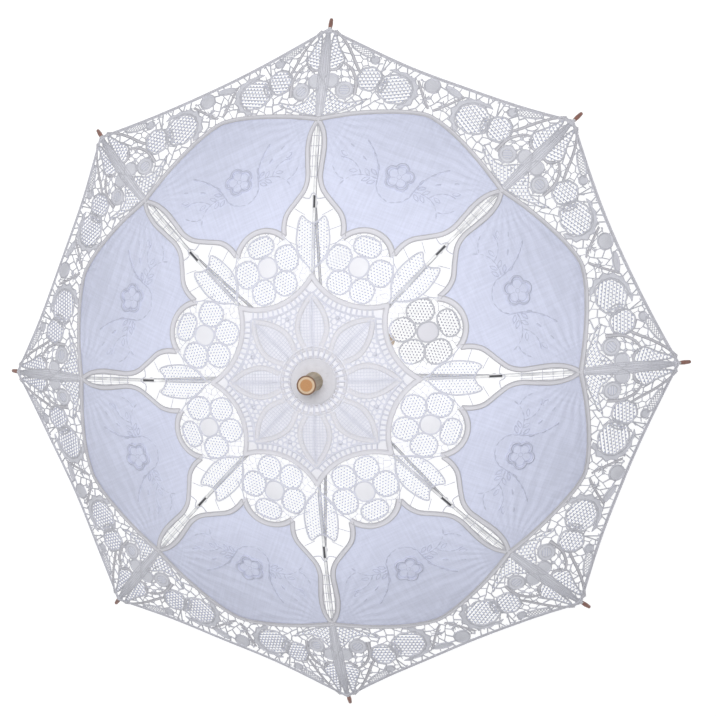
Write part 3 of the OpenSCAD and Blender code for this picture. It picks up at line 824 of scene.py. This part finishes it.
        # cords that cross under the gore's middle
        cord = smooth([(-28, 337.5), (-19, 327), (-12, 319.5), (-3, 311)]) * flip
        lace.tape(cord, 2.8, lift=0.6)
        lace.spider(flip * (-11, 320), 6, 8, 0.4)
        # stay bars between the hem and the lobes
        hem_line = hem_edge(hem)
        for near, far, foot in ((-72, -70, 331), (-66, -70, 331), (-60, -56, 339), (-53, -56, 339),
                                (-46, -42, 339), (-38, -42, 339), (-30, -33, 339)):
            top = np.interp(near, hem_line[:, 0], hem_line[:, 1]) + 0.5
            lace.bar(flip * (near, top), flip * (far, foot), 1.7)
    draw(oval((-10.6, 337), 9, 8), "cloth", -1)
    draw(oval((15, 338.4), 11.5, 3.4, -14), "cloth", -1)
    stays = [(-78, 345), (-64, 334.5), (-58, 340.5), (-40, 341), (-27, 338), (-19, 347)]
    for side in (-1, 1):
        motifs.append(np.array(stays) * [-side, 1])
    lace.ground(field, motifs, lace.sizes.ground, 9, knots=0.14)


# ---- meshes ----

def only(piece):
    """Makes a piece the one that is selected and active."""
    bpy.ops.object.select_all(action="DESELECT")
    piece.select_set(True)
    bpy.context.view_layer.objects.active = piece


def finish_mesh(piece, thickness=None):
    """Gives a sheet its thickness, when one is given, and shades it smooth by angle."""
    only(piece)
    if thickness:
        wall = piece.modifiers.new("thickness", "SOLIDIFY")
        wall.thickness, wall.offset, wall.use_even_offset = thickness, 0.0, False
        bpy.ops.object.modifier_apply(modifier=wall.name)
    bpy.ops.object.shade_smooth_by_angle(angle=math.radians(50))


def cut(piece, planes):
    """Cuts away what lies in front of each plane through the shaft's axis."""
    only(piece)
    bpy.ops.object.mode_set(mode="EDIT")
    for normal in planes:
        bpy.ops.mesh.select_all(action="SELECT")
        bpy.ops.mesh.bisect(plane_co=(0, 0, 0), plane_no=normal, clear_outer=True, threshold=1e-6)
    bpy.ops.object.mode_set(mode="OBJECT")


def joined_pieces(pieces):
    only(pieces[0])
    for piece in pieces[1:]:
        piece.select_set(True)
    bpy.ops.object.join()
    return pieces[0]


def round_rib(name, halves, thickness=None):
    """Joins a gore's clockwise half and the other half of the gore before it, about rib 1."""
    pieces = []
    for side, work in halves.items():
        piece = work.laid(f"{name}_half")
        if thickness:
            cut(piece, [(0, side, 0), (-math.sin(HALF), -side * math.cos(HALF), 0)])
        piece.data.transform(Matrix.Rotation(side * HALF, 4, "Z"))
        pieces.append(piece)
    whole = joined_pieces(pieces)
    only(whole)
    bpy.ops.object.mode_set(mode="EDIT")
    bpy.ops.mesh.select_all(action="SELECT")
    bpy.ops.mesh.remove_doubles(threshold=2e-5)
    bpy.ops.object.mode_set(mode="OBJECT")
    finish_mesh(whole, thickness * MM if thickness else None)
    return whole


def set_on_ribs(pattern, name, material):
    """Copies a piece made about rib 1 to every rib and attaches it to that rib's body."""
    placed = []
    for i in range(RIBS):
        piece = linked(f"{name}_{i + 1}", pattern.data.copy())
        azimuth = 2 * HALF * i
        piece.data.transform(Matrix.Rotation(azimuth, 4, "Z"))
        loosen(piece.data)
        piece.data.materials.clear()
        piece.data.materials.append(material)
        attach(piece, f"rib_{i + 1}")
        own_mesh(piece)
        placed.append(piece)
    bpy.data.objects.remove(pattern)
    return placed


def loosen(mesh):
    """Lets hand-made work stray a little, the same way for all that lies in one place."""
    points = np.zeros(len(mesh.vertices) * 3, np.float32)
    mesh.vertices.foreach_get("co", points)
    points = points.reshape(-1, 3)
    noise.seed_set(STRAY_SEED)
    size, waves = 0.0022, 9                # metres, and how many to the metre
    shaft, hem, fade = 0.05, 0.385, 0.04   # it lies still by the shaft and at the hem
    for p in points:
        reach = math.hypot(p[0], p[1])
        calm = min(1, reach / shaft) * min(1, max(0, (hem - reach) / fade))
        stray = noise.noise_vector(Vector((p[0] * waves, p[1] * waves, 0.3)))
        p[0] += size * calm * stray.x
        p[1] += size * calm * stray.y
    mesh.vertices.foreach_set("co", points.ravel())
    mesh.update()


# ---- materials ----

def feed(tree, entry, value):
    """Links a number's socket to an entry of a node, or sets the entry to a plain value."""
    if isinstance(value, Number):
        tree.links.new(value.socket, entry)
    else:
        entry.default_value = value


def sums(operation, flip=False):
    """A method that adds one Math node."""
    return lambda self, *others: self.math(operation, others, flip)


class Number:
    """A socket that carries a number, for sums written as Python."""

    def __init__(self, tree, socket):
        self.tree, self.socket = tree, socket

    def math(self, operation, others, flip):
        node = self.tree.nodes.new("ShaderNodeMath")
        node.operation = operation
        for entry, value in zip(node.inputs, (*others, self) if flip else (self, *others)):
            feed(self.tree, entry, value)
        return Number(self.tree, node.outputs[0])

    __add__ = __radd__ = sums("ADD")
    __sub__, __rsub__ = sums("SUBTRACT"), sums("SUBTRACT", flip=True)
    __mul__ = __rmul__ = sums("MULTIPLY")
    __pow__, __rpow__ = sums("POWER"), sums("POWER", flip=True)
    sine, size = sums("SINE"), sums("ABSOLUTE")
    most, least = sums("MAXIMUM"), sums("MINIMUM")

    def away(self, other):
        """How far a place is from the middle, from how far it is both ways."""
        return (self * self + other * other) ** 0.5


class Nodes:
    """The nodes of a material or of the world."""

    def __init__(self, owner):
        owner.use_nodes = True
        self.tree = owner.node_tree

    def set(self, node, output=0, **sockets):
        """Feeds a node's sockets, by name or as i0, i1 and so on by number."""
        for key, value in sockets.items():
            numbered = key[0] == "i" and key[1:].isdigit()
            feed(self.tree, node.inputs[int(key[1:]) if numbered else key.replace("_", " ")], value)
        return Number(self.tree, node.outputs[output]) if node.outputs else None

    def add(self, kind, settings=None, output=0, **sockets):
        """One node; its settings come before the values and links of its sockets."""
        node = self.tree.nodes.new(f"ShaderNode{kind}")
        for key, value in (settings or {}).items():
            setattr(node, key, value)
        return self.set(node, output, **sockets)

    def seen(self):
        """1 where the eye sees a surface, directly, in metal or through glass."""
        path = self.tree.nodes.new("ShaderNodeLightPath")
        rays = [Number(self.tree, path.outputs[f"Is {kind} Ray"])
                for kind in ("Camera", "Glossy", "Transmission")]
        return rays[0].most(rays[1]).most(rays[2])


class Finish(Nodes):
    """A material and the nodes that make it."""

    def __init__(self, name, **constants):
        self.material = bpy.data.materials.new(name)
        super().__init__(self.material)
        self.shader = self.tree.nodes["Principled BSDF"]
        self.surface = self.set(self.shader, **constants)

    def place(self, source="Object"):
        """Object coordinates in metres, or the piece's own weave coordinates."""
        return self.add("TexCoord", output=source)

    def parts(self, vector):
        node = self.tree.nodes.new("ShaderNodeSeparateXYZ")
        feed(self.tree, node.inputs[0], vector)
        return [Number(self.tree, socket) for socket in node.outputs]

    def stretched(self, vector, scale):
        return self.add("Mapping", i0=vector, i3=scale)

    def noise(self, vector, scale, detail=3.0):
        return self.add("TexNoise", Vector=vector, Scale=scale, Detail=detail, Roughness=0.55)

    def mix(self, share, first, second):
        """One colour turning into another."""
        return self.add("Mix", {"data_type": "RGBA"}, 2, i0=share, i6=first, i7=second)

    def ramp(self, value, low, high):
        """A smooth step from 0 at low to 1 at high."""
        return self.add("MapRange", {"interpolation_type": "SMOOTHSTEP"}, i0=value, i1=low, i2=high)

    def shades(self, share, colour, dark, light):
        """A colour between two of its own shades."""
        first, second = ((*[min(1.0, c * level) for c in colour], 1.0) for level in (dark, light))
        return self.mix(share, first, second)

    def greyed(self, paint, grey):
        """The colour, but greyer in one medallion of the first gore."""
        x, y, _ = self.parts(self.place())
        away = (x - GREY_MEDALLION[0]).away(y - GREY_MEDALLION[1])
        return self.mix(self.ramp(away, 0.034, 0.038), (*grey, 1), paint)

    def paint(self, colour, height, depth, roughness=None):
        """Links the colour, the bumps with their depth in metres, and the roughness."""
        bump = self.add("Bump", Strength=1.0, Distance=depth, Height=height)
        self.set(self.shader, Base_Color=colour, Normal=bump)
        if roughness:
            self.set(self.shader, Roughness=roughness)
        return self.material


def woven(finish, place, pitch):
    """Threads that pass over and under each other, as a height from 0 to 1."""
    along, across, _ = finish.parts(place)
    turn = 2 * math.pi / pitch
    warp, weft = ((first * (turn / 2)).sine() * (second * turn).sine()
                  for first, second in ((along, across), (across, along)))
    return (warp.size() + weft.size()) * 0.5


def cotton_finish(colour):
    finish = Finish("cotton", Roughness=0.86, Sheen_Weight=0.25, Sheen_Roughness=0.6)
    uv = finish.place("UV")
    weave = woven(finish, uv, 0.8)
    slub = finish.noise(finish.stretched(uv, (0.45, 0.022, 1)), 1.0)
    slub = slub + finish.noise(finish.stretched(uv, (0.022, 0.45, 1)), 1.0)
    cloud = finish.noise(finish.place(), 14.0, 2.0)
    tone = finish.ramp(slub * 0.4 + weave * 0.12 + cloud * 0.25, 0.38, 0.75)
    return finish.paint(finish.shades(tone, colour, 0.92, 1.06), weave + slub * 1.5, 0.00016)


def lining_finish(colour):
    finish = Finish("lining", Roughness=0.88, Sheen_Weight=0.2)
    weave = woven(finish, finish.place("UV"), 1.1)
    tone = finish.ramp(weave * 0.4 + finish.noise(finish.place(), 50.0) * 0.6, 0.2, 0.85)
    paint = finish.shades(tone, colour, 0.93, 1.05)
    return finish.paint(finish.greyed(paint, (0.69, 0.68, 0.73)), weave, 0.00015)


def tape_finish(colour):
    """A plaited braid, with painted shade along its edges but not by the shaft."""
    finish = Finish("lace_tape", Roughness=0.85, Sheen_Weight=0.2)
    uv, place = finish.place("UV"), finish.place()
    along, across, _ = finish.parts(uv)
    x, y, _ = finish.parts(place)
    plait = (along * (4 * math.pi / PLAIT) + across * 2.2).sine().size()
    cross = woven(finish, uv, 0.9)
    tone = finish.ramp(plait * 0.35 + cross * 0.3 + finish.noise(place, 45.0) * 0.45, 0.2, 0.95)
    # painted shade: edges is a darker copy of the colour for the edge cords and the grooves inside
    # them
    middle, edges = finish.shades(tone, colour, 0.97, 1.14), finish.shades(tone, colour, 0.68, 0.84)
    # painted shade: cord puts the edge shade on, fading it out within 0.19 m of the shaft
    cord = finish.ramp(across.size(), 1.7, 2.1) * finish.ramp(x.away(y), 0.02, 0.19)
    return finish.paint(finish.mix(cord, middle, edges), plait * 0.6 + cross, 0.00018)


def cloth_finish(colour):
    finish = Finish("lace_cloth", Roughness=0.88, Sheen_Weight=0.2)
    weave = woven(finish, finish.place("UV"), 1.3)
    tone = finish.ramp(weave * 0.6 + finish.noise(finish.place(), 60.0) * 0.5, 0.15, 0.95)
    return finish.paint(finish.shades(tone, colour, 0.86, 1.22), weave, 0.00025)


def cap_finish(colour):
    finish = Finish("cap_cotton", Roughness=0.88, Sheen_Weight=0.2)
    place = finish.place()
    x, y, _ = finish.parts(place)
    weave = ((x * 7800.0).sine() * (y * 7800.0).sine()).size()
    tone = finish.ramp(weave * 0.4 + finish.noise(place, 120.0) * 0.6, 0.2, 0.8)
    return finish.paint(finish.shades(tone, colour, 0.98, 1.18), weave, 0.0001)


def thread_finish(name, colour, grey, edge_shade=None):
    """Twisted thread, greyer towards the edge of the canopy as painted shade."""
    finish = Finish(name, Roughness=0.8, Sheen_Weight=0.2)
    place = finish.place()
    x, y, z = finish.parts(place)
    ply = ((x + y * 0.6 + z) * 5200.0).sine().size()
    tone = finish.ramp(ply * 0.4 + finish.noise(place, 90.0) * 0.6, 0.15, 0.85)
    paint = finish.shades(tone, colour, 0.86, 1.08)
    if edge_shade:
        # painted shade: the thread turns to the edge shade colour from 0.10 m to 0.29 m out from
        # the shaft
        edge = finish.ramp(x.away(y), 0.10, 0.29)
        paint = finish.mix(edge, paint, finish.shades(tone, edge_shade, 0.84, 1.12))
    return finish.paint(finish.greyed(paint, grey), ply, 0.0001)


def wood_finish(name, colour, gloss=0.42):
    finish = Finish(name, Coat_Weight=0.15, Coat_Roughness=0.25)
    place = finish.place()
    grain = finish.noise(finish.stretched(place, (1, 1, 0.05)), 420.0, 4.0)
    figure = finish.noise(finish.stretched(place, (1, 1, 0.12)), 70.0)
    tone = finish.ramp(grain * 0.55 + figure * 0.5, 0.3, 0.75)
    paint = finish.shades(tone, colour, 0.62, 1.25)
    if name == "ferrule_wood":
        # year rings on the top, with a pale band and a dark rim round them
        x, y, z = finish.parts(place)
        reach, top = x.away(y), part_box("ferrule")[1]
        rings = (reach * 5200.0 + finish.noise(place, 260.0) * 4).sine().size()
        end = finish.mix(rings * 0.8, (0.52, 0.28, 0.125, 1), (0.31, 0.15, 0.065, 1))
        for start, full, band in ((0.58, 0.66, (0.56, 0.43, 0.30, 1)),
                                  (0.80, 0.88, (0.19, 0.11, 0.07, 1))):
            end = finish.mix(finish.ramp(reach, top.x * start, top.x * full), end, band)
        paint = finish.mix(finish.ramp(z, top.z - 0.0013, top.z - 0.0009), paint, end)
    return finish.paint(paint, grain, 0.00015, gloss + grain * 0.25)


def metal_finish(name, colour, roughness, metallic=1.0, edge=None):
    """Drawn or pressed metal; edge gives a half width and the colour of what lies beyond it."""
    finish = Finish(name, Metallic=metallic)
    place = finish.place()
    lines = finish.noise(finish.stretched(place, (1, 1, 0.04)), 900.0, 2.0)
    tone = finish.ramp(finish.noise(place, 60.0, 4.0), 0.35, 0.7)
    paint = finish.shades(tone, colour, 0.72, 1.05)
    if edge:
        # how far from the nearest upright plane through a rib
        x, y, _ = finish.parts(place)
        slant = math.sqrt(0.5)
        aside = x.size().least(y.size())
        aside = aside.least(((x + y) * slant).size()).least(((x - y) * slant).size())
        # on the ribs and stretchers, the dark colour beyond the half width is painted shade on
        # their side walls
        paint = finish.mix(finish.ramp(aside, edge[0] * 0.85, edge[0] * 1.15), paint, (*edge[1], 1))
    return finish.paint(paint, lines, 0.00004, roughness + lines * 0.075 + tone * 0.1)


# ---- the operators ----

class PARASOL_OT_gores(bpy.types.Operator):
    """Makes the cotton and lace of the eight gores"""
    bl_idname = "parasol.gores"
    bl_label = "Cotton and lace"

    def execute(self, context):
        sizes, colours = context.scene.parasol_lace, context.scene.parasol_colours
        lace = Lace(sizes)
        for draw in (draw_centre, draw_medallion, draw_tulip,
                     draw_panel, draw_embroidery, draw_border):
            draw(lace)
        stitched, close = [c * 0.80 for c in colours.cotton], [c * 1.28 for c in colours.edge_shade]
        # each sheet's work, the width of the strip or square it is cut from in metres,
        # its material and its slot
        sheets = {"cotton": (lace.panel, 0.2, cotton_finish(colours.cotton), "cotton"),
                  "lining": (lace.lining, 0.06, lining_finish(colours.lining), "cotton"),
                  "lace_tape": (lace.tapes, 0.01, tape_finish(colours.tape), "lace_tape"),
                  "lace_cloth": (lace.motifs, 0.06, cloth_finish(close), "lace_tape")}
        thread = thread_finish("lace_thread", colours.thread, (0.52, 0.52, 0.56), colours.edge_shade)
        stitch = thread_finish("embroidery", stitched, (0.37, 0.37, 0.43))
        threads = {"lace_net": (lace.nets, thread), "embroidery": (lace.stitches, stitch)}
        for name, (work, _, material, slot_name) in sheets.items():
            pattern = round_rib(name, {-1: work, 1: work}, sizes.cloth)
            set_on_ribs(pattern, name, material)
        for name, (works, material) in threads.items():
            set_on_ribs(round_rib(name, works), name, material)
        for i in range(RIBS):
            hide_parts(f"canopy_{i + 1}")
        return {"FINISHED"}


class PARASOL_OT_cap(bpy.types.Operator):
    """Makes the round of cloth under the ferrule"""
    bl_idname = "parasol.cap"
    bl_label = "Cap"

    def execute(self, context):
        low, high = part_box("canopy_cap")
        reach, inner = high.x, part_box("ferrule")[1].x * 0.7
        bpy.ops.object.select_all(action="DESELECT")
        bpy.ops.mesh.primitive_circle_add(vertices=96, radius=reach, fill_type="NOTHING",
                                          location=(0, 0, low.z + 0.0006))
        cap = context.object
        cap.name = cap.data.name = "cap_cloth"
        bpy.ops.object.transform_apply(location=True, rotation=False, scale=False)
        bpy.ops.object.mode_set(mode="EDIT")
        bpy.ops.mesh.select_all(action="SELECT")
        rings, pleats, swell, gather = 14, 24, 0.0011, 0.00022
        for k in range(rings):
            before = reach - (reach - inner) * k / rings
            after = reach - (reach - inner) * (k + 1) / rings
            bpy.ops.mesh.extrude_edges_move()
            bpy.ops.transform.resize(value=(after / before, after / before, 1),
                                     center_override=(0, 0, 0))
        bpy.ops.object.mode_set(mode="OBJECT")
        for v in cap.data.vertices:
            away = math.hypot(v.co.x, v.co.y)
            share = min(1, max(0, (away - inner) / (reach - inner)))
            pleat = math.cos(pleats * math.atan2(v.co.y, v.co.x))
            v.co.z += swell * math.sin(math.pi * share) ** 0.7 + gather * pleat * (1 - share)
        cap.data.update()
        finish_mesh(cap, 0.0005)
        tape = context.scene.parasol_colours.tape
        cap.data.materials.append(cap_finish([c * 0.85 for c in tape]))
        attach(cap, "shaft_and_handle")
        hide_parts("canopy_cap")
        return {"FINISHED"}


class PARASOL_OT_finishes(bpy.types.Operator):
    """Gives the wood and metal parts their finishes"""
    bl_idname = "parasol.finishes"
    bl_label = "Wood and metal"

    def execute(self, context):
        colours = context.scene.parasol_colours
        finishes = {
            "shaft": wood_finish("shaft_wood", colours.wood),
            "ferrule": wood_finish("ferrule_wood", (0.50, 0.40, 0.27), gloss=0.5),
            "handle": wood_finish("handle_wood", [c * 0.8 for c in colours.wood], gloss=0.35),
            "tip": wood_finish("tip_wood", colours.tip, gloss=0.35),
            "handle_collar": metal_finish("collar_brass", (0.75, 0.56, 0.28), 0.28),
            "runner": metal_finish("nickel", (0.72, 0.70, 0.66), 0.2),
            # painted shade: the ribs and stretchers are dark on their side walls, beyond 1.3 mm
            # from their plane
            "rib": metal_finish("rib_steel", (0.96, 0.96, 0.97), 0.45, metallic=0.15,
                                edge=(0.0013, (0.30, 0.30, 0.33))),
            "joiner": metal_finish("dark_steel", (0.10, 0.10, 0.11), 0.4, metallic=0.6,
                                   edge=(0.0012, (0.78, 0.78, 0.80))),
            "wire": metal_finish("steel_wire", (0.55, 0.55, 0.55), 0.3),
            "spring": metal_finish("spring_steel", (0.62, 0.60, 0.56), 0.25),
        }
        # the parts that share a finish with another
        kinds = {"top_notch": "runner", "stretcher": "rib", "rivet": "joiner",
                 "notch_wire": "wire", "runner_wire": "wire", "stop_pin": "wire",
                 "top_spring": "spring", "bottom_spring": "spring"}
        for name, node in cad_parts.items():
            kind = name.rstrip("0123456789").rstrip("_")
            if kind in ("canopy", "canopy_cap"):
                continue
            node.data.materials.clear()
            node.data.materials.append(finishes[kinds.get(kind, kind)])
        return {"FINISHED"}


class PARASOL_OT_stage(bpy.types.Operator):
    """Makes the floor, the lamps and the camera"""
    bl_idname = "parasol.stage"
    bl_label = "Stage"

    def execute(self, context):
        self.floor()
        self.lamps(context)
        self.camera(context)
        return {"FINISHED"}

    def floor(self):
        bpy.ops.object.select_all(action="DESELECT")
        bpy.ops.mesh.primitive_plane_add(size=16, location=(0, 0, CAD_BOX[0].z - 0.002))
        floor = bpy.context.object
        floor.name = "floor"
        finish = Finish("white_floor", Base_Color=(0.4, 0.4, 0.4, 1), Roughness=1.0,
                        Specular_IOR_Level=0.0)
        glow = finish.add("Emission", Strength=finish.seen() * 0.82)
        lit = finish.add("AddShader", i0=finish.surface, i1=glow)
        # seen from underneath, the floor isn't there
        under = finish.add("NewGeometry", output="Backfacing")
        both = finish.add("MixShader", i0=under, i1=lit, i2=finish.add("BsdfTransparent"))
        finish.set(finish.tree.nodes["Material Output"], Surface=both)
        floor.data.materials.append(finish.material)

    def lamps(self, context):
        context.scene.world = bpy.data.worlds.new("studio")
        nodes = Nodes(context.scene.world)
        light = nodes.set(nodes.tree.nodes["Background"], Color=(0.96, 0.98, 1.0, 1), Strength=0.44)
        white = nodes.add("Background", Color=(1, 1, 1, 1))
        both = nodes.add("MixShader", i0=nodes.seen(), i1=light, i2=white)
        nodes.set(nodes.tree.nodes["World Output"], Surface=both)
        # the last one stands in for light that a white floor throws back up
        for name, place, size, power in (
                ("key", (0.09, 0.25, 1.75), 0.6, 12.5), ("fill", (-1.7, -1.9, 1.0), 1.6, 5),
                ("bounce", (0, 0, CAD_BOX[0].z + 0.003), 1.4, 5)):
            data = bpy.data.lights.new(name, "AREA")
            data.shape, data.size, data.energy = "DISK", size, power
            lamp = linked(name, data)
            lamp.visible_camera = lamp.visible_glossy = False
            lamp.location = place
            aim = Vector((0, 0, 0.4)) - Vector(place)
            lamp.rotation_euler = aim.to_track_quat("-Z", "Y").to_euler()

    def camera(self, context):
        studio = context.scene.parasol_studio
        data = bpy.data.cameras.new("camera")
        data.lens, data.sensor_width = studio.lens, 36
        data.clip_start, data.clip_end = 0.05, 50
        camera = linked("camera", data)
        x, y, z = studio.tilt
        turn = Matrix.Rotation(x, 3, "X") @ Matrix.Rotation(y, 3, "Y") @ Matrix.Rotation(z, 3, "Z")
        back = turn.transposed()
        tips = Vector((0, 0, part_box("tip_1")[0].z))
        place = back @ Vector((*studio.aside, studio.distance)) + tips
        camera.matrix_world = Matrix.Translation(place) @ back.to_4x4()
        context.scene.camera = camera
        context.scene.view_settings.view_transform = "Standard"


class PARASOL_PT_panel(bpy.types.Panel):
    """Lists the steps that make the parasol"""
    bl_label = "Lace Parasol"
    bl_idname = "PARASOL_PT_panel"
    bl_space_type = "VIEW_3D"
    bl_region_type = "UI"
    bl_category = "Parasol"

    def draw(self, context):
        for step in STEPS:
            self.layout.operator(step.bl_idname)
        for name in GROUPS:
            group = getattr(context.scene, name)
            box = self.layout.box()
            for key in group.__annotations__:
                box.prop(group, key)


STEPS = (PARASOL_OT_stage, PARASOL_OT_finishes, PARASOL_OT_gores, PARASOL_OT_cap)
GROUPS = {"parasol_lace": LaceSizes, "parasol_colours": Colours, "parasol_studio": Studio}


def register():
    for entry in (*GROUPS.values(), *STEPS, PARASOL_PT_panel):
        bpy.utils.register_class(entry)
    for name, group in GROUPS.items():
        setattr(bpy.types.Scene, name, PointerProperty(type=group))


def unregister():
    for name in GROUPS:
        delattr(bpy.types.Scene, name)
    for entry in reversed((*GROUPS.values(), *STEPS, PARASOL_PT_panel)):
        bpy.utils.unregister_class(entry)


def main():
    register()
    bpy.ops.parasol.stage()
    bpy.ops.parasol.finishes()
    bpy.ops.parasol.gores()
    bpy.ops.parasol.cap()


if __name__ == "__main__":
    main()
